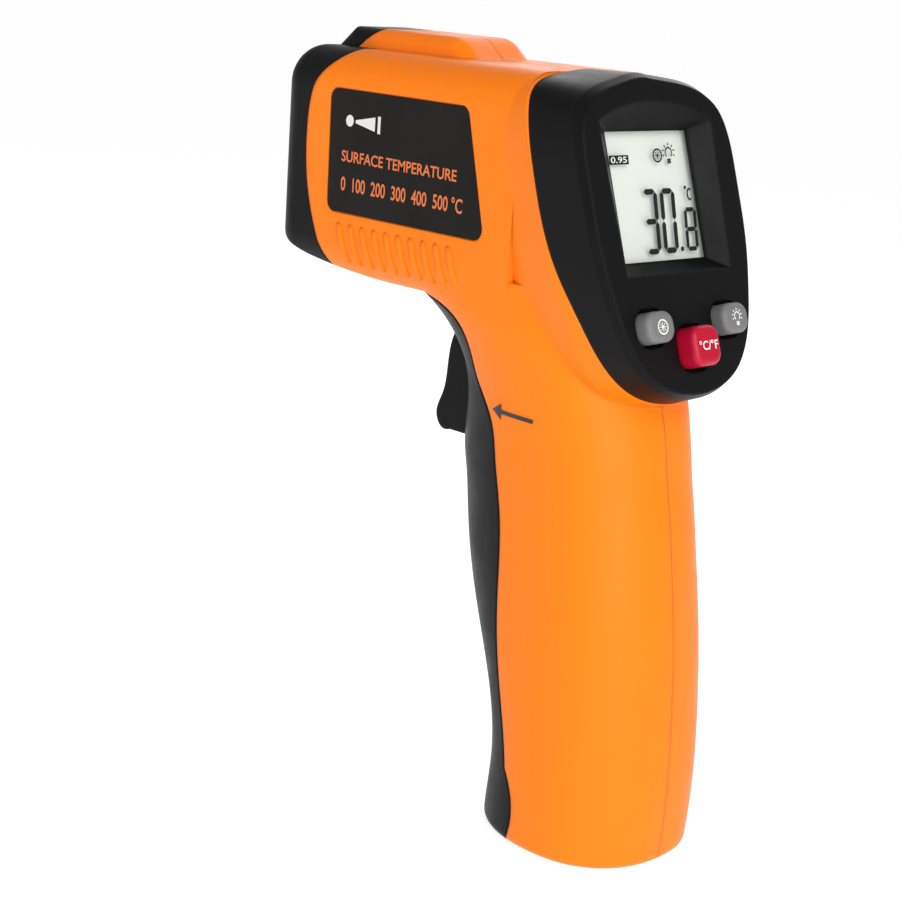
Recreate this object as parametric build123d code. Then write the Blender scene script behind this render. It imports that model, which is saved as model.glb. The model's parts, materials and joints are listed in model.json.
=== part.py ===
from build123d import *
import math
import os

# Infrared thermometer with a pistol grip. Millimetres.
# -X is the muzzle, +X the display, -Y the left side of the holder, +Z up.
# The origin is the middle of the flat foot under the grip.

os.makedirs("parts", exist_ok=True)

# Driving dimensions: outside
WALL = 2.0
BARREL_TOP, BARREL_BOTTOM, BARREL_HALF = 149.0, 103.0, 19.5
BARREL_CORNER, MUZZLE_ROUND = 8.0, 6.5
MUZZLE_X, BARREL_REAR_X = -84.2, -14.0
BUMP_TOP, BUMP_HALF = 153.0, 9.0
BUMP_FRONT, BUMP_JOINT, BUMP_FLAT_END, BUMP_END = -79.5, -66.0, -46.0, -37.0
# The underside sweeps up to the muzzle along this line, in side view
CHIN = [
    (-85.2, 118.0), (-84.2, 114.0), (-82.0, 110.2), (-78.0, 107.6), (-71.5, 105.8),
    (-60.0, 104.0), (-50.0, 102.4),
]
# Driving dimensions: display face, in its own tilted plane
FACE_TILT = 18.9
FACE_X, FACE_Z = 6.7, 127.9
FACE_TOP, FACE_LOW, FACE_HALF = 22.3, 36.3, 20.6
BAND_HALF = 21.5
WINDOW_HALF, WINDOW_LOW, WINDOW_HIGH, WELL_DEPTH = 11.65, -11.2, 13.5, 2.9
WELL_HALF_LOW, WELL_HALF_HIGH, WELL_LOW, WELL_SHOULDER, WELL_CROWN = 15.0, 16.3, -14.1, 14.7, 18.6
BUTTON_Y, SIDE_BUTTON_S, UNIT_BUTTON_S = 10.6, -23.3, -27.7
SIDE_BUTTON, UNIT_BUTTON = (7.2, 5.8), (7.4, 7.6)
BUTTON_PROUD, UNIT_PROUD, BUTTON_CLEAR = 2.8, 3.8, 0.3
# Driving dimensions: grip sections, each height, front, widest place, rear, half width
GRIP = [
    (0.0, -20.6, 0.0, 19.2, 18.7),
    (10.0, -19.9, 0.5, 19.9, 18.9),
    (22.0, -20.4, 0.5, 19.8, 18.9),
    (34.0, -24.4, -0.5, 19.1, 18.7),
    (46.0, -29.5, -2.0, 17.9, 18.3),
    (58.0, -33.1, -3.5, 16.1, 17.8),
    (70.0, -35.3, -5.0, 14.0, 17.4),
    (82.0, -36.0, -6.5, 11.7, 17.3),
    (90.0, -36.6, -8.5, 9.5, 17.8),
    (96.0, -40.0, -11.0, 7.5, 18.6),
    (100.5, -45.2, -14.0, 6.5, 19.2),
    (104.5, -53.5, -17.0, 6.0, 19.4),
    (110.0, -60.0, -20.0, 6.0, 19.4),
]
GRIP_POWER, FOOT_ROUND = 2.25, 2.2
# Driving dimensions: moving parts
HINGE_X, HINGE_Z, HINGE_SWEEP, PIN_R = -16.5, 6.6, 13.3, 1.0
ARM_IN, ARM_OUT, LUG_IN, LUG_OUT = 3.0, 5.4, 5.75, 7.3
DOOR_GAP = 0.3
TRIGGER_X, TRIGGER_Z, TRIGGER_HALF, SLOT_HALF = -25.0, 102.0, 5.5, 6.4
TRIGGER_PIN_R, TRIGGER_HUB_R = 1.25, 3.0
SLOT_NEAR, SLOT_FAR = 66.8, 93.2
# Driving dimensions: inside
LENS_Z, LASER_Z = 124.0, 141.5
TUBE_R, TUBE_BORE, TUBE_FRONT, TUBE_REAR = 9.5, 7.6, -81.0, -50.0
LASER_R = 3.3
BATTERY = (17.5, 26.5, 46.4)
SCREWS = [(-17.0, 109.5), (-24.0, 142.4), (2.0, 84.0), (12.0, 12.0)]
SCREW_SEAT_Y, SCREW_HEAD_R, SCREW_R = 12.2, 2.5, 1.3
BOARD_SCREWS, BOARD_SCREW_S = (-12.5, 12.5), -18.2
REACH = 60.0

tilt = math.radians(FACE_TILT)
FACE = Plane(
    origin=(FACE_X, 0, FACE_Z),
    x_dir=(0, 1, 0),
    z_dir=(math.cos(tilt), 0, math.sin(tilt)),
)
# The battery leans forward with the grip
LEAN = Plane(origin=(1.0, 0, 20.6), x_dir=(1, 0, 0.17), z_dir=(-0.17, 0, 1))


def save(shape, node):
    export_step(shape, "parts/" + node + ".step")


def block(x0, x1, y0, y1, z0, z1):
    return Pos((x0 + x1) / 2, (y0 + y1) / 2, (z0 + z1) / 2) * Box(x1 - x0, y1 - y0, z1 - z0)


def rod_y(x, z, radius, y0, y1):
    return Pos(x, (y0 + y1) / 2, z) * Rot(90, 0, 0) * Cylinder(radius, y1 - y0)


def rod_x(z, radius, x0, x1, y=0.0):
    return Pos((x0 + x1) / 2, y, z) * Rot(0, 90, 0) * Cylinder(radius, x1 - x0)


def side_slab(edges, y0=-REACH, y1=REACH):
    """A shape drawn in side view and pulled straight across from y0 to y1."""
    face = Plane.XZ * make_face(edges)
    return Pos(0, y1, 0) * extrude(face, amount=y1 - y0)


def head_outline(half, top, low, depth, square):
    """Shield-shaped outline of the display head; square 0 is arched, 1 matches the barrel."""
    side = [
        (0.0, 1.0, 1.0), (0.42, 0.95, 1.0), (0.70, 0.872, 0.985), (0.88, 0.745, 0.925),
        (0.975, 0.53, 0.78), (1.0, 0.15, 0.30), (0.985, -0.27, -0.27), (0.915, -0.50, -0.50),
        (0.79, -0.735, -0.735), (0.57, -0.9, -0.9), (0.30, -0.977, -0.977), (0.0, -1.0, -1.0),
    ]
    points = []
    for w, arched, squared in side:
        s = arched + (squared - arched) * square
        points.append((half * w, top * s if s > 0 else low * s))
    points = points + [(-w, s) for w, s in points[-2:0:-1]]
    return FACE.offset(-depth) * make_face(Spline(*points, periodic=True))


def head(inset):
    """Display head: chamfered front edge, straight band, then a flare into the barrel."""
    if inset:
        a = head_outline(BAND_HALF - inset, FACE_TOP + 1.4 - inset, FACE_LOW - 1.2, 3.4, 0.0)
        b = head_outline(BAND_HALF - inset, 27.0 - inset, FACE_LOW - 0.8, 13.0, 0.6)
        c = head_outline(18.3 - inset, 29.6 - inset, FACE_LOW - 3.0, 25.0, 0.8)
        return loft([a, b], ruled=True) + loft([b, c], ruled=True)
    front = head_outline(FACE_HALF, FACE_TOP, FACE_LOW, 0, 0.0)
    a = head_outline(BAND_HALF - 0.1, FACE_TOP + 1.3, FACE_LOW + 0.7, 1.6, 0.05)
    b = head_outline(BAND_HALF, 27.0, FACE_LOW + 1.2, 12.5, 0.6)
    c = head_outline(18.3, 30.0, FACE_LOW - 1.0, 25.0, 0.8)
    return loft([front, a], ruled=True) + loft([a, b], ruled=True) + loft([b, c], ruled=True)


def chin(inset):
    """What the upswept underside takes off the barrel."""
    line = [(x + 0.75 * inset, z + 0.75 * inset) for x, z in CHIN]
    rest = Polyline(line[-1], (-95.0, line[-1][1]), (-95.0, line[0][1]), line[0])
    return side_slab(Spline(*line) + rest)


def barrel(inset):
    high = BARREL_TOP - BARREL_BOTTOM
    outline = Plane.YZ * RectangleRounded(
        2 * (BARREL_HALF - inset), high - 2 * inset, BARREL_CORNER - inset
    )
    front = MUZZLE_X + (3.0 if inset else 0.0)
    shape = Pos(front, 0, (BARREL_TOP + BARREL_BOTTOM) / 2) * extrude(
        outline, amount=BARREL_REAR_X - front
    )
    edges = shape.edges().filter_by_position(Axis.X, front - 0.01, front + 0.01)
    return fillet(edges, MUZZLE_ROUND - inset) - chin(inset)


def bump():
    """Rounded rise on top of the barrel that covers the aiming laser."""
    low = BARREL_TOP - 3.0
    line = Polyline(
        (BUMP_END, low), (BUMP_FRONT, low), (BUMP_FRONT, BUMP_TOP - 4.0),
        (BUMP_FRONT + 5.0, BUMP_TOP), (BUMP_FLAT_END, BUMP_TOP),
    )
    slope = Spline(
        (BUMP_FLAT_END, BUMP_TOP), (BUMP_END, BARREL_TOP - 0.6),
        tangents=[(1, 0), (1, -0.25)],
    )
    close = Line((BUMP_END, BARREL_TOP - 0.6), (BUMP_END, low))
    shape = side_slab(line + slope + close, -BUMP_HALF, BUMP_HALF)
    crown = shape.edges().filter_by(lambda e: e.center().Z > BARREL_TOP - 0.2)
    crown = crown.filter_by(lambda e: abs(e.center().Y) > BUMP_HALF - 0.5)
    return fillet(crown, 2.8)


def grip(inset):
    rings = []
    for z, front, middle, rear, half in GRIP:
        points = []
        for k in range(14):
            angle = math.tau * (k + 0.5) / 14
            c, s = math.cos(angle), math.sin(angle)
            reach = rear - middle if c > 0 else middle - front
            x = middle + math.copysign(abs(c) ** (2 / GRIP_POWER), c) * (reach - inset)
            y = math.copysign(abs(s) ** (2 / GRIP_POWER), s) * (half - inset)
            points.append((x, y))
        rings.append(Pos(0, 0, z) * make_face(Spline(*points, periodic=True)))
    shape = loft(rings)
    if inset:
        return shape - block(-REACH * 2, REACH * 2, -REACH, REACH, -1, inset)
    foot = shape.edges().filter_by_position(Axis.Z, -0.01, 0.01)
    return fillet(foot, FOOT_ROUND)


def bezel_region():
    seam = Spline(
        (-17.5, 155.0), (-9.9, 139.7), (-6.4, 127.9), (-0.2, 114.2),
        (5.3, 104.8), (12.4, 90.4), (17.0, 82.0),
    )
    rest = Polyline((17.0, 82.0), (40.0, 82.0), (40.0, 155.0), (-17.5, 155.0))
    return side_slab(seam + rest)


def collar_region():
    seam = Spline(
        (-61.0, 156.0), (-66.5, 148.2), (-72.2, 142.0), (-74.3, 132.0),
        (-73.6, 122.0), (-71.2, 114.0), (-68.2, 107.5), (-65.0, 100.0),
    )
    rest = Polyline((-65.0, 100.0), (-90.0, 100.0), (-90.0, 156.0), (-61.0, 156.0))
    return side_slab(seam + rest)


def door_region(gap):
    """Everything in front of the door seam; its foot is an arc about the hinge."""
    sweep = HINGE_SWEEP - gap
    low = (HINGE_X + sweep * math.cos(math.radians(-31)), HINGE_Z + sweep * math.sin(math.radians(-31)))
    middle = (HINGE_X + sweep, HINGE_Z)
    high = (HINGE_X + sweep * math.cos(math.radians(40)), HINGE_Z + sweep * math.sin(math.radians(40)))
    line = [
        (-7.6, 21.5), (-10.2, 31.5), (-12.2, 44.0), (-12.9, 56.0), (-14.2, 66.0),
        (-16.6, 75.0), (-18.3, 81.5), (-21.6, 86.4), (-24.6, 90.5), (-25.9, 95.5),
        (-28.3, 99.8), (-33.0, 102.4), (-41.0, 103.4), (-51.0, 103.0),
    ]
    line = [(x - gap, z - gap) for x, z in line]
    tip = line[-1]
    seam = Spline(high, *line)
    foot = ThreePointArc(low, middle, high)
    drop = Line((low[0], -4.0), low)
    rest = Polyline(tip, (-62.0, 96.0), (-62.0, -4.0), (low[0], -4.0))
    return side_slab(drop + foot + seam + rest)


def label_outline(grow):
    points = [
        (-66.8, 116.6), (-21.2, 116.6), (-27.6, 141.2), (-67.2, 141.2),
    ]
    sketch = make_face(Polyline(*points, close=True))
    sketch = fillet(sketch.vertices(), 2.2)
    return offset(sketch, grow) if grow else sketch


def label_slab(grow, y0, y1):
    face = Plane.XZ * label_outline(grow)
    return Pos(0, y1, 0) * extrude(face, amount=y1 - y0)


# Outside and inside of the whole case
outer = barrel(0) + [grip(0), head(0), bump()]
cavities = [barrel(WALL), grip(WALL), head(WALL)]

in_bezel, in_collar = bezel_region(), collar_region()
tab_line = [
    (BUMP_JOINT, 160.0), (BUMP_JOINT, BUMP_TOP), (BUMP_JOINT - 7.0, BARREL_TOP - 1.0),
    (-40.0, BARREL_TOP - 1.0), (-40.0, 160.0),
]
tab_notch = side_slab(Polyline(*tab_line, close=True), -BUMP_HALF, BUMP_HALF)
in_collar = in_collar - tab_notch

# Display bezel with its sunk window and three button holes
bezel = (outer & in_bezel) - cavities


def well_ring(half_low, half_high, low, shoulder, crown, depth):
    edge = Polyline((-half_high, shoulder), (-half_low, low), (half_low, low), (half_high, shoulder))
    arch = ThreePointArc((half_high, shoulder), (0, crown), (-half_high, shoulder))
    return FACE.offset(-depth) * make_face(edge + arch)


opening = well_ring(WELL_HALF_LOW, WELL_HALF_HIGH, WELL_LOW, WELL_SHOULDER, WELL_CROWN, -0.3)
floor_edge = well_ring(
    WINDOW_HALF, WINDOW_HALF, WINDOW_LOW, WINDOW_HIGH - 0.2, WINDOW_HIGH, WELL_DEPTH
)
well = loft([opening, floor_edge], ruled=True)
window_hole = FACE * Pos(0, 1.15, -4.0) * Box(2 * WINDOW_HALF - 0.4, 24.2, 8.0)
bezel = bezel - well - window_hole


def in_face(y, s, z0, z1, wide, high, corner):
    """A round-cornered bar square to the display face, from depth z0 to z1."""
    sketch = FACE.offset(z0) * Pos(y, s) * RectangleRounded(wide, high, corner)
    return extrude(sketch, amount=z1 - z0)


buttons = {
    "laser_button": (-BUTTON_Y, SIDE_BUTTON_S, SIDE_BUTTON, BUTTON_PROUD),
    "backlight_button": (BUTTON_Y, SIDE_BUTTON_S, SIDE_BUTTON, BUTTON_PROUD),
    "unit_button": (0.0, UNIT_BUTTON_S, UNIT_BUTTON, UNIT_PROUD),
}
for y, s, size, proud in buttons.values():
    wide, high = size[0] + 2 * BUTTON_CLEAR, size[1] + 2 * BUTTON_CLEAR
    bezel = bezel - in_face(y, s, -6.0, 2.0, wide, high, 2.6)
    wide, high = wide + 0.5, high + 0.9
    bezel = bezel - in_face(y, s, -0.9, 2.0, wide, high, 3.0)

# Collar round the muzzle with the lens and laser apertures
collar = (outer & in_collar) - cavities[0]
lens_bell = Pos(MUZZLE_X + 1.6, 0, LENS_Z) * Rot(0, 90, 0) * Cone(10.6, 7.8, 3.4)
collar = collar - lens_bell - rod_x(LENS_Z, 7.8, -90, -70) - rod_x(LASER_Z, 2.2, -90, -70)
recess = Plane.YZ * RectangleRounded(25.0, 34.0, 7.0)
recess = Pos(MUZZLE_X - 1.0, 0, 129.5) * extrude(recess, amount=2.0)
collar = collar - recess

# Door down the front of the grip
door = (outer & door_region(DOOR_GAP)) - cavities[0:2]
slot_ring = rod_y(HINGE_X, HINGE_Z, SLOT_FAR, -SLOT_HALF, SLOT_HALF)
slot_ring = slot_ring - rod_y(HINGE_X, HINGE_Z, SLOT_NEAR, -SLOT_HALF - 1, SLOT_HALF + 1)
door = door - slot_ring
for side in (-1, 1):
    span = sorted((side * (ARM_IN - 0.3), side * (ARM_OUT + 0.3)))
    door = door - block(-18.8, 0, *span, -1, 3.2) - rod_y(HINGE_X, HINGE_Z, 2.4, *span)
    span = sorted((side * LUG_IN, side * LUG_OUT))
    lug = rod_y(HINGE_X, HINGE_Z, 2.6, *span) + block(-19.0, -14.1, *span, 1.0, HINGE_Z)
    door = door + lug
door = door - rod_y(HINGE_X, HINGE_Z, PIN_R, -LUG_OUT - 0.5, LUG_OUT + 0.5)
door_hinge_pin = rod_y(HINGE_X, HINGE_Z, PIN_R, -LUG_OUT, LUG_OUT)

# Orange case, both halves together, then split on the middle plane
tube_hole = rod_x(LENS_Z, TUBE_R, -90, -40)
laser_hole = rod_x(LASER_Z, LASER_R, -90, -40)
shelf = LEAN * Pos(8.5, 0, -2.1) * Box(23, 60, 1.6)
board_seat = FACE * Pos(0, -6.0, -15.4) * Box(60, 44, 1.6)
board_seat = board_seat - FACE * Pos(0, -5.0, -15.5) * Box(22, 36, 4)
ribs_inside = [
    block(-54, -52.4, -30, 30, 100, 160) - tube_hole,
    block(-60.5, -58.9, -30, 30, 100, 160) - tube_hole - laser_hole,
    shelf,
    block(-12.0, -10.4, -30, 30, 80.2, 97.5),
    board_seat,
    rod_y(TRIGGER_X, TRIGGER_Z, 3.4, 6.0, REACH),
    rod_y(TRIGGER_X, TRIGGER_Z, 3.4, -REACH, -6.0),
]
for x, z in SCREWS:
    ribs_inside.append(rod_y(x, z, 4.2, 0, REACH) + rod_y(x, z, 3.2, -REACH, 0))
hollow = (cavities[0] + cavities[1:]) - ribs_inside
case = outer - [in_bezel, in_collar, door_region(0)]
case = case - hollow
arms = []
for side in (-1, 1):
    span = sorted((side * ARM_IN, side * ARM_OUT))
    arm = rod_y(HINGE_X, HINGE_Z, 2.0, *span) + block(HINGE_X, 1.0, *span, 5.0, 8.6)
    arms.append(arm + block(-2.6, 1.0, *span, 0.8, 8.6))
case = case + arms

removed = [
    label_slab(0.2, -REACH, -BARREL_HALF + 0.35),
    label_slab(0.2, BARREL_HALF - 0.35, REACH),
    rod_y(HINGE_X, HINGE_Z, PIN_R + 0.08, -ARM_OUT - 0.1, ARM_OUT + 0.1),
    rod_y(TRIGGER_X, TRIGGER_Z, TRIGGER_PIN_R, -9.5, 9.5),
]
for x, z in SCREWS:
    removed.append(rod_y(x, z, SCREW_HEAD_R + 0.3, SCREW_SEAT_Y, REACH))
    removed.append(rod_y(x, z, SCREW_R, -9.0, SCREW_SEAT_Y + 1))
for y in BOARD_SCREWS:
    removed.append(FACE * Pos(y, BOARD_SCREW_S, -14) * Cylinder(0.9, 6))
case = case - removed

housing_left = case & block(-120, 60, -REACH, 0, -5, 170)
housing_right = case & block(-120, 60, 0, REACH, -5, 170)

save(housing_left, "housing_left")
save(housing_right, "housing_right")
save(bezel, "display_bezel")
save(collar, "nose_collar")
save(door, "battery_door")
save(door_hinge_pin, "door_hinge_pin")
save(label_slab(0, -BARREL_HALF + 0.05, -BARREL_HALF + 0.35), "label_left")
save(label_slab(0, BARREL_HALF - 0.35, BARREL_HALF - 0.05), "label_right")


# Trigger: a curved blade on a hub, with its pin, spring and switch
blade_line = Spline(
    (-41.0, 95.2), (-42.3, 92.0), (-42.9, 87.0), (-43.9, 81.4), (-45.3, 77.2), (-44.4, 75.0),
    (-41.0, 74.4),
)
blade_rest = Polyline(
    (-41.0, 74.4), (-36.0, 74.4), (-30.5, 78.0), (-25.6, 83.0), (-23.8, 89.0),
    (-22.6, 95.0), (-22.4, 100.6), (-27.4, 100.4), (-29.5, 97.4), (-41.0, 95.2),
)
blade = side_slab(blade_line + blade_rest, -TRIGGER_HALF, TRIGGER_HALF)
trigger = blade + rod_y(TRIGGER_X, TRIGGER_Z, TRIGGER_HUB_R, -TRIGGER_HALF, TRIGGER_HALF)
trigger = trigger - rod_y(TRIGGER_X, TRIGGER_Z, TRIGGER_PIN_R + 0.06, -10, 10)
save(trigger, "trigger")
save(rod_y(TRIGGER_X, TRIGGER_Z, TRIGGER_PIN_R, -9.5, 9.5), "trigger_pin")
coil = Helix(pitch=2.1, height=8.4, radius=2.0)
wire = sweep(Plane(origin=coil @ 0, z_dir=coil % 0) * Circle(0.3), path=coil)
save(Pos(-21.0, 0, 92.6) * Rot(0, 90, 0) * wire, "trigger_spring")
switch = block(-19.0, -12.0, -3.0, 3.0, 80.5, 87.0)
save(fillet(switch.edges().filter_by(Axis.Y), 0.5), "trigger_switch")
save(block(-20.4, -19.0, -1.4, 1.4, 82.4, 84.8), "trigger_switch_plunger")

# Buttons, each a cap, a flange behind the face and a stem down to its switch
for node, (y, s, size, proud) in buttons.items():
    wide, high = size
    cap = in_face(y, s, -3.6, proud, wide, high, 2.4)
    crown = cap.edges().sort_by(lambda e: (FACE.to_local_coords(e.center())).Z)
    cap = fillet(crown[-8:], 1.1)
    flange = in_face(y, s + 0.7, -4.6, -3.6, wide, high + 1.4, 2.4)
    stem = FACE * Pos(y, s, -7.3) * Cylinder(1.5, 5.6)
    save(cap + flange + stem, node)
bodies = []
for y, s, size, proud in buttons.values():
    body = in_face(y, s, -13.0, -9.5, 6.0, 6.0, 0.4)
    bodies.append(body - FACE * Pos(y, s, -10.5) * Cylinder(1.62, 2.4))
save(Compound(children=bodies), "panel_switches")

# Display stack, square to the face
save(in_face(0, 1.15, -4.6, -3.45, 26.0, 27.4, 1.5), "display_window")
save(in_face(0, 0.5, -6.7, -4.7, 28.0, 31.0, 0.4), "lcd_panel")
save(in_face(0, 2.9, -9.2, -6.8, 28.0, 26.0, 0.4), "lcd_backlight")
holder = in_face(0, 0.5, -12.9, -4.7, 30.2, 33.2, 2.0) - in_face(0, 0.5, -13.5, -4.0, 28.2, 31.2, 0.6)
save(holder, "lcd_holder")
save(in_face(0, -13.0, -12.9, -6.8, 24.0, 2.4, 0.3), "lcd_contact_strip")
board_edge = Polyline(
    (-15.0, 16.5), (-16.5, -10.0), (-11.5, -29.5), (11.5, -29.5), (16.5, -10.0), (15.0, 16.5),
    close=True,
)
board = extrude(FACE.offset(-14.6) * make_face(board_edge), amount=1.6)
screws = []
for y in BOARD_SCREWS:
    board = board - FACE * Pos(y, BOARD_SCREW_S, -14) * Cylinder(0.9, 4)
    board_screw = FACE * Pos(y, BOARD_SCREW_S, -12.5) * Cylinder(1.6, 1.0)
    screws.append(board_screw + FACE * Pos(y, BOARD_SCREW_S, -13.8) * Cylinder(0.9, 1.6))
save(board, "main_board")
save(Compound(children=screws), "board_screws")
chips = [
    FACE * Pos(0, -4.0, -15.2) * Cylinder(4.6, 1.2),
    in_face(-6.5, -16.0, -16.0, -14.6, 5.0, 6.2, 0.3),
    in_face(6.5, -15.0, -16.2, -14.6, 3.8, 8.0, 0.3),
    in_face(7.5, 2.0, -15.6, -14.6, 3.2, 1.6, 0.2),
    in_face(7.5, -2.0, -15.6, -14.6, 3.2, 1.6, 0.2),
]
save(Compound(children=chips), "board_chips")
buzzer = FACE * Pos(0, 6.8, -16.6) * Cylinder(5.4, 4.0) - FACE * Pos(0, 6.8, -18.4) * Cylinder(1.0, 1.4)
save(buzzer, "buzzer")

# Optics: tube, lens, sensor and its board, then the aiming laser above
tube = rod_x(LENS_Z, TUBE_R, TUBE_FRONT, TUBE_REAR) - rod_x(LENS_Z, TUBE_BORE, TUBE_FRONT - 1, -54.0)
tube = tube - rod_x(LENS_Z, 4.6, -56, -49)
save(tube, "lens_tube")
dome = Pos(-60.2, 0, LENS_Z) * Sphere(20.0)
save(rod_x(LENS_Z, TUBE_BORE, -80.6, -78.0) & dome, "infrared_lens")
save(rod_x(LENS_Z, 4.6, -56.0, -50.2) + rod_x(LENS_Z, 4.0, -56.6, -56.0), "thermopile_sensor")
pins = [rod_x(LENS_Z + 2.5 * c, 0.25, -50.2, -48.9, 2.5 * s) for c, s in ((1, 0), (-1, 0), (0, 1), (0, -1))]
save(Compound(children=pins), "sensor_pins")
save(block(-48.9, -47.5, -10, 10, LENS_Z - 10, LENS_Z + 10), "sensor_board")
laser = rod_x(LASER_Z, LASER_R, -79.0, -65.5) - rod_x(LASER_Z, 2.0, -80, -77.6)
save(laser, "laser_module")
save(rod_x(LASER_Z, 2.0, -78.6, -77.6), "laser_lens")

# Battery standing in its tray, snap connector and the two leads to the board
can = extrude(LEAN * RectangleRounded(BATTERY[0], BATTERY[1], 2.2), amount=BATTERY[2])
save(can, "battery_can")
terminals = [
    LEAN * Pos(0, -6.35, BATTERY[2] + 1.25) * Cylinder(2.9, 2.5),
    LEAN * Pos(0, 6.35, BATTERY[2] + 1.25) * Cylinder(3.9, 2.5),
]
save(Compound(children=terminals), "battery_terminals")
snap = LEAN * Pos(0, 0, BATTERY[2] + 4.3) * Box(11.0, 25.0, 3.6)
save(fillet(snap.edges(), 0.9), "battery_snap")
tray = LEAN * Pos(1.6, 0, -0.7) * Box(16.8, 27.6, 1.2) + LEAN * Pos(9.6, 0, 16.0) * Box(1.2, 26.8, 34.6)
for y in (-13.95, 13.95):
    tray = tray + LEAN * Pos(1.5, y, 5.0) * Box(9.0, 1.0, 12.6)
save(tray, "battery_tray")
for y, node in ((-3.0, "battery_lead_red"), (3.0, "battery_lead_black")):
    start = LEAN.from_local_coords(Vector(0, y, BATTERY[2] + 6.1))
    end = FACE.from_local_coords(Vector(y * 1.3, -20.6, -14.6))
    path = Spline(
        start, (-6.0, y * 1.4, 82.0), (-4.4, y * 1.4, 92.0), end,
        tangents=[(-0.17, 0, 1), FACE.z_dir],
    )
    save(sweep(Plane(origin=start, z_dir=path % 0) * Circle(0.6), path=path), node)

# Case screws, all driven from the right-hand side
case_screws = []
for x, z in SCREWS:
    shank = rod_y(x, z, SCREW_R, -9.0, SCREW_SEAT_Y)
    button = rod_y(x, z, SCREW_HEAD_R, SCREW_SEAT_Y, SCREW_SEAT_Y + 1.8)
    cross = block(x - 1.5, x + 1.5, SCREW_SEAT_Y + 0.9, SCREW_SEAT_Y + 2, z - 0.3, z + 0.3)
    cross = cross + block(x - 0.3, x + 0.3, SCREW_SEAT_Y + 0.9, SCREW_SEAT_Y + 2, z - 1.5, z + 1.5)
    case_screws.append(shank + button - cross)
save(Compound(children=case_screws), "case_screws")
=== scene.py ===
import json
import math

import bpy
import numpy as np
from bpy.props import FloatProperty, FloatVectorProperty, PointerProperty, StringProperty
from mathutils import Matrix, Vector


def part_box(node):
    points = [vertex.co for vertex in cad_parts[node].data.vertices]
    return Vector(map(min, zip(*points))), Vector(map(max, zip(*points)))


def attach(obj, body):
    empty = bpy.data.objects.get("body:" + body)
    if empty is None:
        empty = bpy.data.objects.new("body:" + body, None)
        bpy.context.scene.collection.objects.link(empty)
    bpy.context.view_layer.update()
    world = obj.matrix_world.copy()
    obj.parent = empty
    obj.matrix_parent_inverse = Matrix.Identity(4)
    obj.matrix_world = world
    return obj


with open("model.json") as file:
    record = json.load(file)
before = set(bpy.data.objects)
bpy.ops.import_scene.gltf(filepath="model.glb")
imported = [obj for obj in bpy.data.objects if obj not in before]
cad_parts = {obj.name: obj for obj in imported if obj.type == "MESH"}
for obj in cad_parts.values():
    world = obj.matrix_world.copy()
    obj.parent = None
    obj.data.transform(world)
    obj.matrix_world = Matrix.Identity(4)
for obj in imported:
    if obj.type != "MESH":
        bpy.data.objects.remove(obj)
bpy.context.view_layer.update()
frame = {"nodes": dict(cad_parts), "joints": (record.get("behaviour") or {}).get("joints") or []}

bl_info = {
    "name": "Infrared Thermometer",
    "version": (1, 0, 0),
    "blender": (4, 5, 0),
    "location": "View3D > Sidebar > Thermometer",
    "description": "Finishes, lettering, display and stage for a pistol-grip infrared thermometer",
    "category": "Object",
}

MM = 0.001


# ---------------------------------------------------------------- frame helpers

def joint_named(name):
    """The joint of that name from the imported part."""
    return next(j for j in frame["joints"] if j["name"] == name)


def centre_of(node):
    low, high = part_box(node)
    return (np.array(low) + np.array(high)) / 2


def face_frame():
    """Origin, across, up and outward directions of the tilted display face.

    The buttons travel straight into the face, so outward = -(their axis).
    across is +Y and up = outward x across, and the origin lies 4.03 mm outward
    of the window's middle and 1.15 mm below it.
    """
    outward = -np.array(joint_named("unit_button_press")["axis"], float)
    outward /= np.linalg.norm(outward)
    across = np.array([0.0, 1.0, 0.0])
    up = np.cross(outward, across)
    origin = centre_of("display_window") + outward * 4.03 * MM - up * 1.15 * MM
    return origin, across, up, outward


def on_face(across_mm, up_mm, depth_mm):
    """World points for places on the face, given in millimetres."""
    origin, across, up, outward = face_frame()
    a, u, d = np.broadcast_arrays(
        np.asarray(across_mm, float), np.asarray(up_mm, float), np.asarray(depth_mm, float)
    )
    return origin + MM * (a[..., None] * across + u[..., None] * up + d[..., None] * outward)


# ---------------------------------------------------------------- mesh helpers

def mesh_object(name, points, faces, smooth=True):
    """An object at the origin from an array of points and an array of faces."""
    mesh = bpy.data.meshes.new(name)
    mesh.from_pydata(np.asarray(points).reshape(-1, 3).tolist(), [], [list(f) for f in faces])
    mesh.polygons.foreach_set("use_smooth", np.full(len(mesh.polygons), smooth))
    mesh.validate()
    mesh.update()
    obj = bpy.data.objects.new(name, mesh)
    bpy.context.scene.collection.objects.link(obj)
    return obj


def ring_faces(rows, columns):
    """Quads of a grid of rows x columns points whose columns close on themselves."""
    r = np.arange(rows - 1)[:, None] * columns
    c = np.arange(columns)[None, :]
    n = (c + 1) % columns
    quads = np.stack(np.broadcast_arrays(r + c, r + n, r + columns + n, r + columns + c), -1)
    return quads.reshape(-1, 4)


def closed_rings(name, rings):
    """A closed skin through rings[k] (k, columns, 3), with a pole in the middle of each end.

    Faces look outward when the rings run anticlockwise about the way they advance.
    """
    rows, columns = rings.shape[:2]
    poles = np.stack([rings[0].mean(0), rings[-1].mean(0)])
    points = np.concatenate([rings.reshape(-1, 3), poles])
    first, last = rows * columns, rows * columns + 1
    c = np.arange(columns)
    n = (c + 1) % columns
    start = np.stack([np.full(columns, first), n, c], -1)
    top = (rows - 1) * columns
    end = np.stack([np.full(columns, last), top + c, top + n], -1)
    faces = [*ring_faces(rows, columns).tolist(), *start.tolist(), *end.tolist()]
    return mesh_object(name, points, faces)


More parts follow.
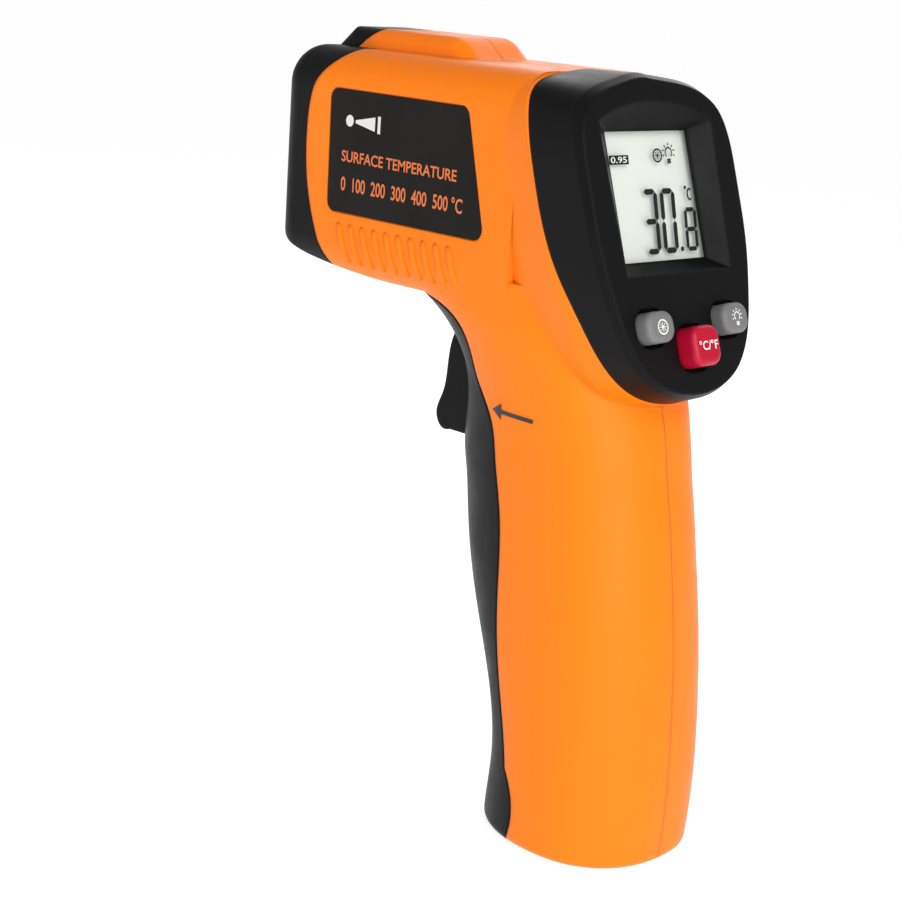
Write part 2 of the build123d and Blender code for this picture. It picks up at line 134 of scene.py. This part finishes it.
def flat_shapes(name, outlines, thick, place):
    """Thin solid plates from outlines in millimetres; place(x, y, depth) puts them in space."""
    points, faces, base = [], [], 0
    for outline in outlines:
        xy = np.asarray(outline, float)
        count = len(xy)
        low = place(xy[:, 0], xy[:, 1], 0.0)
        high = place(xy[:, 0], xy[:, 1], thick)
        points.append(np.concatenate([low, high]))
        k = np.arange(count)
        n = (k + 1) % count
        faces.append((base + count + k).tolist())
        faces.append((base + k[::-1]).tolist())
        faces.extend((base + np.stack([k, n, n + count, k + count], -1)).tolist())
        base += 2 * count
    return mesh_object(name, np.concatenate(points), faces, smooth=False)


def lettering(name, text, height, place, thick=0.02, middle=(0.0, 0.0), width=None, bold=0.0):
    """Raised printed text; height is that of a capital, in millimetres, and width a limit."""
    curve = bpy.data.curves.new(name, "FONT")
    curve.body = text
    curve.align_x, curve.align_y = "CENTER", "CENTER"
    curve.resolution_u = 4
    curve.offset = bold
    holder = bpy.data.objects.new(name, curve)
    bpy.context.scene.collection.objects.link(holder)
    bpy.context.view_layer.update()
    mesh = bpy.data.meshes.new_from_object(holder)
    bpy.data.objects.remove(holder)
    bpy.data.curves.remove(curve)
    flat = np.zeros(len(mesh.vertices) * 3, np.float32)
    mesh.vertices.foreach_get("co", flat)
    flat = flat.reshape(-1, 3)[:, :2]
    low, high = flat.min(0), flat.max(0)
    flat = (flat - (low + high) / 2) / (high[1] - low[1]) * height
    if width:
        flat[:, 0] *= width / (flat[:, 0].max() - flat[:, 0].min())
    flat = flat + np.asarray(middle)
    loops = [list(p.vertices) for p in mesh.polygons]
    bpy.data.meshes.remove(mesh)
    points = place(flat[:, 0], flat[:, 1], thick)
    return mesh_object(name, points, loops, smooth=False)


# ---------------------------------------------------------------- materials

def scatter(tree, coords, scale, detail=2.0, rough=0.5):
    noise = tree.nodes.new("ShaderNodeTexNoise")
    noise.inputs["Scale"].default_value = scale
    noise.inputs["Detail"].default_value = detail
    noise.inputs["Roughness"].default_value = rough
    tree.links.new(coords, noise.inputs["Vector"])
    return noise.outputs["Fac"]


def spread(tree, value, low, high, start=0.3, end=0.7):
    ramp = tree.nodes.new("ShaderNodeMapRange")
    ramp.inputs["From Min"].default_value = start
    ramp.inputs["From Max"].default_value = end
    ramp.inputs["To Min"].default_value = low
    ramp.inputs["To Max"].default_value = high
    tree.links.new(value, ramp.inputs["Value"])
    return ramp.outputs["Result"]


def finish(name, colour, rough, grain=2600.0, bump=0.15, metal=0.0, vary=0.06, soft=0.0, **extra):
    """A material with fine moulded grain, uneven gloss and slightly uneven colour.

    grain is in cycles per metre; vary is the share by which the colour wanders; soft is
    the radius, in millimetres, at which sharp edges catch the light as if rounded.
    """
    material = bpy.data.materials.new(name)
    material.use_nodes = True
    tree = material.node_tree
    shader = tree.nodes["Principled BSDF"]
    coords = tree.nodes.new("ShaderNodeTexCoord").outputs["Object"]
    shader.inputs["Metallic"].default_value = metal
    for key, value in extra.items():
        shader.inputs[key.replace("_", " ")].default_value = value
    mix = tree.nodes.new("ShaderNodeMix")
    mix.data_type = "RGBA"
    mix.inputs["A"].default_value = (*[c * (1 - vary) for c in colour], 1)
    mix.inputs["B"].default_value = (*[min(c * (1 + vary), 1) for c in colour], 1)
    tree.links.new(scatter(tree, coords, 55.0, 4.0), mix.inputs["Factor"])
    tree.links.new(mix.outputs["Result"], shader.inputs["Base Color"])
    wear = scatter(tree, coords, 130.0, 5.0, 0.6)
    tree.links.new(spread(tree, wear, rough * 0.86, rough * 1.16), shader.inputs["Roughness"])
    relief = tree.nodes.new("ShaderNodeBump")
    relief.inputs["Strength"].default_value = bump
    relief.inputs["Distance"].default_value = 0.00006
    tree.links.new(scatter(tree, coords, grain, 3.0, 0.65), relief.inputs["Height"])
    if soft:
        rounding = tree.nodes.new("ShaderNodeBevel")
        rounding.inputs["Radius"].default_value = soft * MM
        tree.links.new(rounding.outputs["Normal"], relief.inputs["Normal"])
    tree.links.new(relief.outputs["Normal"], shader.inputs["Normal"])
    return material


def dress(node, material):
    """Gives a CAD node or a new piece its finish."""
    obj = frame["nodes"][node] if isinstance(node, str) else node
    obj.data.materials.clear()
    obj.data.materials.append(material)
    return obj


def settings():
    return bpy.context.scene.thermometer


# ---------------------------------------------------------------- settings

class ThermometerSettings(bpy.types.PropertyGroup):
    """Adjustable sizes of the printed and moulded details."""

    grain: FloatProperty(
        name="Moulded grain", description="Grain of the textured plastic per metre",
        default=2600.0, min=200.0, max=9000.0,
    )
    print_thickness: FloatProperty(
        name="Print thickness", description="Height of printed ink in millimetres",
        default=0.03, min=0.01, max=0.2,
    )
    case_colour: FloatVectorProperty(
        name="Case colour", description="Colour of the case halves", subtype="COLOR", size=3,
        default=(0.95, 0.205, 0.001), min=0.0, max=1.0,
    )
    trim_colour: FloatVectorProperty(
        name="Trim colour", description="Colour of the collar, bezel, door and trigger",
        subtype="COLOR", size=3, default=(0.0045, 0.0045, 0.005), min=0.0, max=1.0,
    )
    print_colour: FloatVectorProperty(
        name="Print colour", description="Colour of the lettering on the side labels",
        subtype="COLOR", size=3, default=(0.72, 0.155, 0.03), min=0.0, max=1.0,
    )
    button_colour: FloatVectorProperty(
        name="Unit button colour", description="Colour of the middle button",
        subtype="COLOR", size=3, default=(0.45, 0.005, 0.028), min=0.0, max=1.0,
    )
    segment_width: FloatProperty(
        name="Segment width", description="Width of a large display segment in millimetres",
        default=1.05, min=0.3, max=1.5,
    )
    rib_height: FloatProperty(
        name="Rib height", description="How far the barrel ribs stand out, in millimetres",
        default=0.55, min=0.1, max=1.5,
    )
    reading_large: StringProperty(
        name="Large digits", description="Large digits shown on the display", default="30",
    )
    reading_small: StringProperty(
        name="Small digit", description="Small digit shown on the display", default="8",
    )
    label_title: StringProperty(
        name="Label title", description="First line printed on the side label",
        default="SURFACE TEMPERATURE",
    )
    label_range: StringProperty(
        name="Label range", description="Second line printed on the side label",
        default="0  100  200  300  400  500 °C",
    )
    lens: FloatProperty(
        name="Camera lens", description="Focal length of the camera in millimetres",
        default=78.27, min=20.0, max=300.0, unit="CAMERA",
    )
    softness: FloatProperty(
        name="Key light size", description="Width of the main softbox", default=0.7,
        min=0.1, max=3.0, unit="LENGTH",
    )


# ---------------------------------------------------------------- pieces

RIBS, RIB_FIRST, RIB_STEP = 10, -63.0, 3.6
RIB_HALF_WIDTH, RIB_TOP, RIB_REARWARD = 0.8, 114.6, 2.6
BARREL_HALF, BARREL_CORNER, CORNER_Z = 19.5, 8.0, 111.0


def rib_rings(x, side):
    """Rings of one raised rib that runs down the barrel's side and round its lower corner.

    The path is a straight drop of the flat side, then an arc of the corner's radius about
    the corner's centre; it leans a little to the rear on the way down. Each ring is an
    ellipse across the path, half sunk in the wall, and it shrinks to nothing at both ends
    as the root of one minus the eighth power of the distance from the middle.
    """
    t = np.linspace(-1, 1, 41)
    drop = RIB_TOP - CORNER_Z
    run = (t + 1) / 2 * (drop + 0.62 * BARREL_CORNER)
    angle = np.clip(run - drop, 0, None) / BARREL_CORNER
    y = BARREL_HALF - BARREL_CORNER * (1 - np.cos(angle))
    z = np.where(run < drop, RIB_TOP - run, CORNER_Z - BARREL_CORNER * np.sin(angle))
    path = np.stack([x + RIB_REARWARD * (t + 1) / 2, side * y, z], -1)
    out = np.stack([0 * t, side * np.cos(angle), -np.sin(angle)], -1)
    size = np.sqrt(np.clip(1 - np.abs(t) ** 8, 0.002, 1))
    turn = np.linspace(0, 2 * np.pi, 17)[:-1] * side
    along = np.array([1.0, 0.0, 0.0])
    wide = (size[:, None] * np.cos(turn) * RIB_HALF_WIDTH)[..., None] * along
    high = (size[:, None] * np.sin(turn) * settings().rib_height)[..., None] * out[:, None, :]
    return MM * (path[:, None, :] + wide + high)


# Left side of the grip at three heights: height, front, widest place and half width
GRIP_SIDE = np.array([
    (70.0, -35.3, -5.0, 17.4),
    (82.0, -36.0, -6.5, 17.3),
    (90.0, -36.6, -8.5, 17.8),
])
GRIP_POWER = 2.25


def grip_place(x, z, depth):
    """Puts marks on the left side of the grip, a superellipse at each height."""
    x, z, depth = np.broadcast_arrays(*(np.asarray(v, float) for v in (x, z, depth)))
    front, middle, half = (np.interp(z, GRIP_SIDE[:, 0], GRIP_SIDE[:, k]) for k in (1, 2, 3))
    reach = np.where(x < middle, middle - front, 18.2)
    y = half * (1 - np.abs((x - middle) / reach) ** GRIP_POWER) ** (1 / GRIP_POWER)
    return MM * np.stack([x, -y - 0.08 - depth, z], -1)


def door_arrow():
    """A small arrow that points forward at the battery door, cut in narrow pieces."""
    shaft = np.linspace(-15.6, -6.6, 9)
    pieces = [
        np.array([[a, 84.4], [b, 84.4], [b, 85.2], [a, 85.2]]) for a, b in zip(shaft, shaft[1:])
    ]
    head = [[-18.2, 84.8], [-15.6, 83.2], [-15.6, 86.4]]
    return [np.array(head), *pieces]


class THERMO_OT_case(bpy.types.Operator):
    """Orange case halves with fine moulded grain, their ribs, arrow mark and screws"""

    bl_idname = "thermo.case"
    bl_label = "Case"

    def execute(self, context):
        orange = finish(
            "case orange", settings().case_colour, 0.42, settings().grain, 0.22, vary=0.03,
            soft=1.5, Specular_IOR_Level=0.2,
        )
        for node in ("housing_left", "housing_right"):
            dress(node, orange)
        screws = finish("screw steel", (0.55, 0.55, 0.57), 0.35, 900.0, 0.1, metal=1.0)
        dress("case_screws", screws)
        for tag, side in (("left", -1), ("right", 1)):
            for k in range(RIBS):
                rib = closed_rings("rib_%s_%d" % (tag, k), rib_rings(RIB_FIRST + RIB_STEP * k, side))
                dress(rib, orange)
                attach(rib, "case")
        mark = flat_shapes("door_mark", door_arrow(), 0.03, grip_place)
        dress(mark, finish("mark ink", (0.02, 0.02, 0.02), 0.5, 3000.0, 0.1))
        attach(mark, "case")
        return {"FINISHED"}


class THERMO_OT_black_parts(bpy.types.Operator):
    """Black collar, bezel and battery door"""

    bl_idname = "thermo.black_parts"
    bl_label = "Black parts"

    def execute(self, context):
        black = finish(
            "case black", settings().trim_colour, 0.42, settings().grain, 0.35, vary=0.15,
            soft=0.8, Specular_IOR_Level=0.11,
        )
        for node in ("nose_collar", "display_bezel", "battery_door"):
            dress(node, black)
        pins = finish("pin steel", (0.6, 0.6, 0.62), 0.3, 1200.0, 0.1, metal=1.0)
        dress("door_hinge_pin", pins)
        return {"FINISHED"}


def label_place(side):
    """Places printed marks on a side label: x runs the way a reader reads, y is up."""
    low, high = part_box("label_left" if side < 0 else "label_right")
    middle_x, middle_z = (low[0] + high[0]) / 2, (low[2] + high[2]) / 2
    surface = low[1] if side < 0 else high[1]

    def place(x, y, depth):
        x, y, depth = np.broadcast_arrays(*(np.asarray(v, float) for v in (x, y, depth)))
        return np.stack(
            [middle_x - side * x * MM, surface + side * depth * MM, middle_z + y * MM], -1
        )

    return place


class THERMO_OT_label(bpy.types.Operator):
    """Side labels with their generic printing"""

    bl_idname = "thermo.label"
    bl_label = "Labels"

    def execute(self, context):
        film = finish(
            "label film", (0.0075, 0.0058, 0.005), 0.5, 5200.0, 0.5, vary=0.3,
            Specular_IOR_Level=0.14,
        )
        ink = finish("label ink", settings().print_colour, 0.45, 3000.0, 0.1)
        pale = finish("label pale ink", (0.72, 0.72, 0.70), 0.45, 3000.0, 0.1)
        thick = settings().print_thickness
        for side, node in ((-1, "label_left"), (1, "label_right")):
            dress(node, film)
            place = label_place(side)
            shift = 1.6 * side
            tag = "left" if side < 0 else "right"
            title = lettering(
                "label_title_" + tag, settings().label_title, 2.25, place, thick,
                (shift * 1.1, -0.9), 33.6, bold=0.016,
            )
            limits = lettering(
                "label_range_" + tag, settings().label_range, 3.0, place, thick,
                (shift * 0.4, -6.4), 35.5, bold=0.016,
            )
            for obj in (title, limits):
                dress(obj, ink)
                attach(obj, "case")
            start = -16.6 if side < 0 else -15.0
            shapes = [
                disc(start, 6.2, 1.15, 32),
                np.array([[1.8, 5.9], [7.6, 4.8], [7.6, 7.6], [1.8, 6.5]]) + [start, 0],
                np.array([[8.4, 4.5], [9.2, 4.5], [9.2, 7.9], [8.4, 7.9]]) + [start, 0],
            ]
            mark = flat_shapes("label_mark_" + tag, shapes, thick, place)
            dress(mark, pale)
            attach(mark, "case")
        return {"FINISHED"}


SEGMENTS = {
    "0": "abcdef", "1": "bc", "2": "abged", "3": "abgcd", "4": "fgbc", "5": "afgcd",
    "6": "afgedc", "7": "abc", "8": "abcdefg", "9": "abcdfg",
}


def bar(x0, y0, x1, y1, width):
    """A display segment from end to end, pointed at both ends."""
    a, b = np.array([x0, y0], float), np.array([x1, y1], float)
    along = (b - a) / np.linalg.norm(b - a)
    across = np.array([-along[1], along[0]]) * width / 2
    step = along * width / 2
    return np.array([a, a + step - across, b - step - across, b, b - step + across, a + step + across])


def digit(character, left, low, wide, high, width):
    """Segment outlines of one seven-segment digit in its box."""
    right, top, middle = left + wide, low + high, low + high / 2
    gap = width * 0.06
    ends = {
        "a": (left, top, right, top), "g": (left, middle, right, middle),
        "d": (left, low, right, low), "f": (left, middle, left, top),
        "e": (left, low, left, middle), "b": (right, middle, right, top),
        "c": (right, low, right, middle),
    }
    shapes = []
    for key in SEGMENTS[character]:
        x0, y0, x1, y1 = ends[key]
        dx, dy = (gap, 0) if y0 == y1 else (0, gap)
        shapes.append(bar(x0 + dx, y0 + dy, x1 - dx, y1 - dy, width))
    return shapes


def disc(x, y, radius, count=20):
    turn = np.linspace(0, 2 * np.pi, count + 1)[:-1]
    return np.stack([x + radius * np.cos(turn), y + radius * np.sin(turn)], -1)


def stroke(x0, y0, x1, y1, width):
    """A plain straight stroke with square ends."""
    a, b = np.array([x0, y0], float), np.array([x1, y1], float)
    along = (b - a) / np.linalg.norm(b - a)
    across = np.array([-along[1], along[0]]) * width / 2
    return np.array([a - across, b - across, b + across, a + across])


def burst_icon(x, y, size, width):
    """Ring with a small sunburst inside it."""
    turn = np.radians(np.linspace(0, 360, 17))
    px, py = x + size * 0.34 * np.cos(turn), y + size * 0.34 * np.sin(turn)
    shapes = []
    for k in range(16):
        shapes.append(stroke(px[k], py[k], px[k + 1], py[k + 1], width))
    shapes.append(disc(x, y, size * 0.09))
    for angle in np.arange(8) * math.pi / 4:
        c, s = math.cos(angle), math.sin(angle)
        r0, r1 = size * 0.12, size * 0.24
        shapes.append(stroke(x + r0 * c, y + r0 * s, x + r1 * c, y + r1 * s, width * 0.5))
    return shapes


def bulb_icon(x, y, size, width):
    """Lamp bulb outline with short rays round it."""
    shapes = []
    turn = np.radians(np.linspace(-50, 230, 13))
    cx, cy, r = x, y + size * 0.08, size * 0.24
    px, py = cx + r * np.cos(turn), cy + r * np.sin(turn)
    for k in range(12):
        shapes.append(stroke(px[k], py[k], px[k + 1], py[k + 1], width * 0.8))
    for level in (0.26, 0.34, 0.42):
        half = size * 0.13
        shapes.append(stroke(x - half, y - size * level, x + half, y - size * level, width * 0.8))
    for angle in np.radians([-20, 15, 50, 90, 130, 165, 200]):
        c, s = math.cos(angle), math.sin(angle)
        shapes.append(
            stroke(cx + r * 1.4 * c, cy + r * 1.4 * s, cx + r * 1.95 * c, cy + r * 1.95 * s, width * 0.7)
        )
    return shapes


# Display artwork in millimetres on the face: it leans like italic print
DISPLAY_DEPTH, DISPLAY_LEAN, LEAN_HEIGHT = -3.62, 0.107, 8.5
DIGIT_LOW, DIGIT_HIGH, DIGIT_WIDE, DIGIT_STARTS = -9.1, 11.1, 3.15, (-1.9, 3.1)


def on_crystal(x, y, depth):
    return on_face(x + DISPLAY_LEAN * (y - LEAN_HEIGHT), y, DISPLAY_DEPTH + depth)


class THERMO_OT_display(bpy.types.Operator):
    """Liquid crystal display, its segments and the clear window"""

    bl_idname = "thermo.display"
    bl_label = "Display"

    def execute(self, context):
        pane = finish(
            "window clear", (0.05, 0.05, 0.05), 0.05, 400.0, 0.01, vary=0.01, Alpha=0.05,
            Specular_IOR_Level=0.3,
        )
        dress("display_window", pane)
        # Painted glow: the crystal gives off a faint light of its own colour, standing in for the light
        # the window pane keeps from it.
        crystal = finish(
            "crystal", (0.76, 0.785, 0.73), 0.4, 3000.0, 0.05, vary=0.02,
            Emission_Color=(0.9, 0.93, 0.87, 1), Emission_Strength=0.09,
        )
        dress("lcd_panel", crystal)
        dress("lcd_backlight", finish("light guide", (0.8, 0.82, 0.78), 0.4))
        dress("lcd_holder", finish("holder", (0.6, 0.6, 0.58), 0.5))
        dress("lcd_contact_strip", finish("strip", (0.4, 0.4, 0.42), 0.7))
        dark = finish(
            "segments", (0.012, 0.013, 0.014), 0.5, 3000.0, 0.05, Specular_IOR_Level=0.2,
        )
        width = settings().segment_width
        low, high = DIGIT_LOW, DIGIT_HIGH
        shapes = []
        for character, start in zip(settings().reading_large, DIGIT_STARTS):
            shapes += digit(character, start, low, DIGIT_WIDE, high, width)
        shapes += digit(settings().reading_small[:1], 9.46, low, 2.65, 7.4, width * 0.8)
        shapes.append(disc(7.75, low + 0.1, 0.48, 12))
        shapes += burst_icon(2.95, 8.7, 3.5, 0.34)
        shapes += bulb_icon(6.15, 8.9, 3.9, 0.36)
        shapes.append(disc(10.0, 2.5, 0.36, 12))
        turn = np.radians(np.linspace(50, 310, 10))
        x, y = 11.15 + 0.62 * np.cos(turn), 1.2 + 1.05 * np.sin(turn)
        for k in range(9):
            shapes.append(stroke(x[k], y[k], x[k + 1], y[k + 1], 0.42))
        shapes.append([[-10.5, 7.25], [-5.2, 7.25], [-5.2, 8.95], [-10.5, 8.95]])
        marks = flat_shapes("display_segments", shapes, 0.012, on_crystal)
        dress(marks, dark)
        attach(marks, "case")
        # The hold figures share the crystal's painted glow.
        hold = lettering(
            "display_hold", "0.95", 1.15, on_crystal, 0.03, (-7.85, 8.1), 4.4, bold=0.01,
        )
        dress(hold, crystal)
        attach(hold, "case")
        return {"FINISHED"}


def cap_place(top):
    """Places marks on a button's cap, whose crown is top millimetres above the face."""
    def place(x, y, depth):
        return on_face(x, y, top + depth)
    return place


class THERMO_OT_buttons(bpy.types.Operator):
    """Panel buttons and the marks on their caps"""

    bl_idname = "thermo.buttons"
    bl_label = "Buttons"

    def execute(self, context):
        grey = finish(
            "button grey", (0.165, 0.165, 0.167), 0.42, 2600.0, 0.2, soft=1.0,
            Specular_IOR_Level=0.35,
        )
        red = finish(
            "button red", settings().button_colour, 0.26, 1500.0, 0.08, vary=0.04, soft=1.0,
            Specular_IOR_Level=0.2, Coat_Weight=0.12, Coat_Roughness=0.15,
        )
        pale = finish("button print", (0.82, 0.82, 0.80), 0.45, 3000.0, 0.05)
        origin, across, up, outward = face_frame()
        for node, material, slot in (
            ("laser_button", grey, "grey_button"),
            ("backlight_button", grey, "grey_button"),
            ("unit_button", red, "red_button"),
        ):
            obj = dress(node, material)
            co = np.zeros(len(obj.data.vertices) * 3, np.float32)
            obj.data.vertices.foreach_get("co", co)
            local = (co.reshape(-1, 3) - origin) / MM
            top = (local @ outward).max()
            cap = local[local @ outward > top - 2.0]
            x, y = (cap @ across), (cap @ up)
            x, y = (x.min() + x.max()) / 2, (y.min() + y.max()) / 2
            place = cap_place(top)
            if node == "unit_button":
                mark = lettering(node + "_mark", "°C/°F", 1.75, place, 0.03, (x, y), 5.2, bold=0.012)
            elif node == "laser_button":
                mark = flat_shapes(node + "_mark", burst_icon(x, y - 0.1, 3.8, 0.26), 0.03, place)
            else:
                mark = flat_shapes(node + "_mark", bulb_icon(x, y, 3.2, 0.26), 0.03, place)
            dress(mark, pale)
            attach(mark, node)
        dress("panel_switches", finish("switch body", (0.07, 0.07, 0.08), 0.5))
        return {"FINISHED"}


class THERMO_OT_trigger(bpy.types.Operator):
    """Trigger blade, its pin, spring and switch"""

    bl_idname = "thermo.trigger"
    bl_label = "Trigger"

    def execute(self, context):
        black = finish(
            "trigger black", settings().trim_colour, 0.45, settings().grain, 0.3, vary=0.15,
            soft=1.2, Specular_IOR_Level=0.11,
        )
        dress("trigger", black)
        steel = finish("spring steel", (0.62, 0.62, 0.64), 0.28, 1500.0, 0.08, metal=1.0)
        dress("trigger_pin", steel)
        dress("trigger_spring", steel)
        dress("trigger_switch", finish("microswitch", (0.05, 0.05, 0.06), 0.5))
        dress("trigger_switch_plunger", finish("plunger", (0.65, 0.65, 0.62), 0.5))
        return {"FINISHED"}


class THERMO_OT_optics(bpy.types.Operator):
    """Lens tube, lens, sensor and aiming laser"""

    bl_idname = "thermo.optics"
    bl_label = "Optics"

    def execute(self, context):
        dress("lens_tube", finish("tube black", (0.015, 0.015, 0.015), 0.6))
        dress("infrared_lens", finish(
            "lens milky", (0.62, 0.62, 0.60), 0.22, 900.0, 0.03, Subsurface_Weight=0.2,
        ))
        dress("thermopile_sensor", finish("can", (0.7, 0.7, 0.72), 0.3, metal=1.0))
        dress("sensor_pins", finish("leads", (0.8, 0.7, 0.4), 0.3, metal=1.0))
        dress("sensor_board", finish("sensor board", (0.02, 0.16, 0.06), 0.35))
        dress("laser_module", finish("brass", (0.66, 0.45, 0.16), 0.3, metal=1.0))
        dress("laser_lens", finish("laser glass", (0.6, 0.1, 0.1), 0.05, Alpha=0.6))
        return {"FINISHED"}


class THERMO_OT_electronics(bpy.types.Operator):
    """Main board, chips, buzzer and small screws"""

    bl_idname = "thermo.electronics"
    bl_label = "Electronics"

    def execute(self, context):
        dress("main_board", finish("main board", (0.02, 0.16, 0.06), 0.35, 700.0))
        dress("board_chips", finish("chips", (0.02, 0.02, 0.02), 0.45))
        dress("buzzer", finish("buzzer black", (0.03, 0.03, 0.03), 0.5))
        dress("board_screws", finish("board screws", (0.6, 0.6, 0.62), 0.35, metal=1.0))
        return {"FINISHED"}


class THERMO_OT_battery(bpy.types.Operator):
    """Battery, tray, snap connector and leads"""

    bl_idname = "thermo.battery"
    bl_label = "Battery"

    def execute(self, context):
        dress("battery_can", finish("jacket", (0.03, 0.03, 0.035), 0.3, vary=0.2))
        dress("battery_terminals", finish("terminals", (0.7, 0.7, 0.7), 0.3, metal=1.0))
        dress("battery_snap", finish("snap vinyl", (0.02, 0.02, 0.02), 0.5))
        dress("battery_tray", finish("tray", (0.03, 0.03, 0.03), 0.55))
        dress("battery_lead_red", finish("red lead", (0.5, 0.02, 0.02), 0.45))
        dress("battery_lead_black", finish("black lead", (0.02, 0.02, 0.02), 0.45))
        return {"FINISHED"}


def add_area(name, place, target, size, power, colour=(1, 1, 1), tall=None):
    light = bpy.data.lights.new(name, "AREA")
    light.energy, light.color, light.size = power, colour, size
    if tall:
        light.shape, light.size_y = "RECTANGLE", tall
    obj = bpy.data.objects.new(name, light)
    obj.location = place
    aim = Vector(target) - Vector(place)
    obj.rotation_euler = aim.to_track_quat("-Z", "Y").to_euler()
    bpy.context.scene.collection.objects.link(obj)
    return obj


AMBIENT, FLOOR_GLOW, FLOOR_HALF = 0.36, 0.78, 40.0


class THERMO_OT_stage(bpy.types.Operator):
    """Pale floor, soft lights and camera"""

    bl_idname = "thermo.stage"
    bl_label = "Stage"

    def execute(self, context):
        scene = context.scene
        scene.view_settings.view_transform = "Standard"
        world = bpy.data.worlds.new("studio")
        world.use_nodes = True
        tree = world.node_tree
        background = tree.nodes["Background"]
        background.inputs["Color"].default_value = (1, 1, 1, 1)
        seen = tree.nodes.new("ShaderNodeLightPath").outputs["Is Camera Ray"]
        tree.links.new(spread(tree, seen, AMBIENT, 1.0, 0.0, 1.0), background.inputs["Strength"])
        scene.world = world
        corners = np.array([[-1, -1, 0], [1, -1, 0], [1, 1, 0], [-1, 1, 0]], float) * FLOOR_HALF
        floor = mesh_object("floor", corners, [[0, 1, 2, 3]], smooth=False)
        dress(floor, finish(
            "floor paint", (0.5, 0.5, 0.5), 0.6, 40.0, 0.02, vary=0.01,
            Emission_Color=(1, 1, 1, 1), Emission_Strength=FLOOR_GLOW,
        ))
        middle = (-0.02, 0.0, 0.09)
        key = add_area("key_softbox", (0.6, -0.35, 0.4), middle, settings().softness, 5.5)
        rear = add_area("rear_softbox", (-0.35, 0.6, 0.5), middle, 0.6, 2.5)
        side = add_area("left_softbox", (-0.45, -0.6, 0.35), middle, 0.6, 0.4)
        camera = bpy.data.cameras.new("camera")
        camera.lens = settings().lens
        camera.sensor_width = 36.0
        camera.clip_start, camera.clip_end = 0.01, 100.0
        eye = bpy.data.objects.new("camera", camera)
        azimuth, elevation, roll = (math.radians(a) for a in (45.64, 14.21, 3.88))
        back = Vector((
            math.sin(azimuth) * math.cos(elevation),
            -math.cos(azimuth) * math.cos(elevation),
            math.sin(elevation),
        ))
        level = (-back).cross(Vector((0, 0, 1))).normalized()
        lift = level.cross(-back)
        right = math.cos(roll) * level + math.sin(roll) * lift
        upward = -math.sin(roll) * level + math.cos(roll) * lift
        turn = Matrix((right, upward, back)).transposed().to_4x4()
        eye.matrix_world = Matrix.Translation((0.23806, -0.27792, 0.16873)) @ turn
        scene.collection.objects.link(eye)
        scene.camera = eye
        return {"FINISHED"}


class THERMO_PT_panel(bpy.types.Panel):
    """Sidebar panel with the settings and the build steps"""

    bl_label = "Thermometer"
    bl_idname = "THERMO_PT_panel"
    bl_space_type = "VIEW_3D"
    bl_region_type = "UI"
    bl_category = "Thermometer"

    def draw(self, context):
        for key in ThermometerSettings.__annotations__:
            self.layout.prop(context.scene.thermometer, key)
        for operator in OPERATORS:
            self.layout.operator(operator.bl_idname)


OPERATORS = (
    THERMO_OT_case,
    THERMO_OT_black_parts,
    THERMO_OT_label,
    THERMO_OT_display,
    THERMO_OT_buttons,
    THERMO_OT_trigger,
    THERMO_OT_optics,
    THERMO_OT_electronics,
    THERMO_OT_battery,
    THERMO_OT_stage,
)
CLASSES = (ThermometerSettings, *OPERATORS, THERMO_PT_panel)


def register():
    for cls in CLASSES:
        bpy.utils.register_class(cls)
    bpy.types.Scene.thermometer = PointerProperty(type=ThermometerSettings)


def unregister():
    del bpy.types.Scene.thermometer
    for cls in reversed(CLASSES):
        bpy.utils.unregister_class(cls)


def main():
    register()
    for operator in OPERATORS:
        group, name = operator.bl_idname.split(".")
        if getattr(getattr(bpy.ops, group), name)() != {"FINISHED"}:
            raise RuntimeError(operator.bl_label + " could not be finished")


if __name__ == "__main__":
    main()
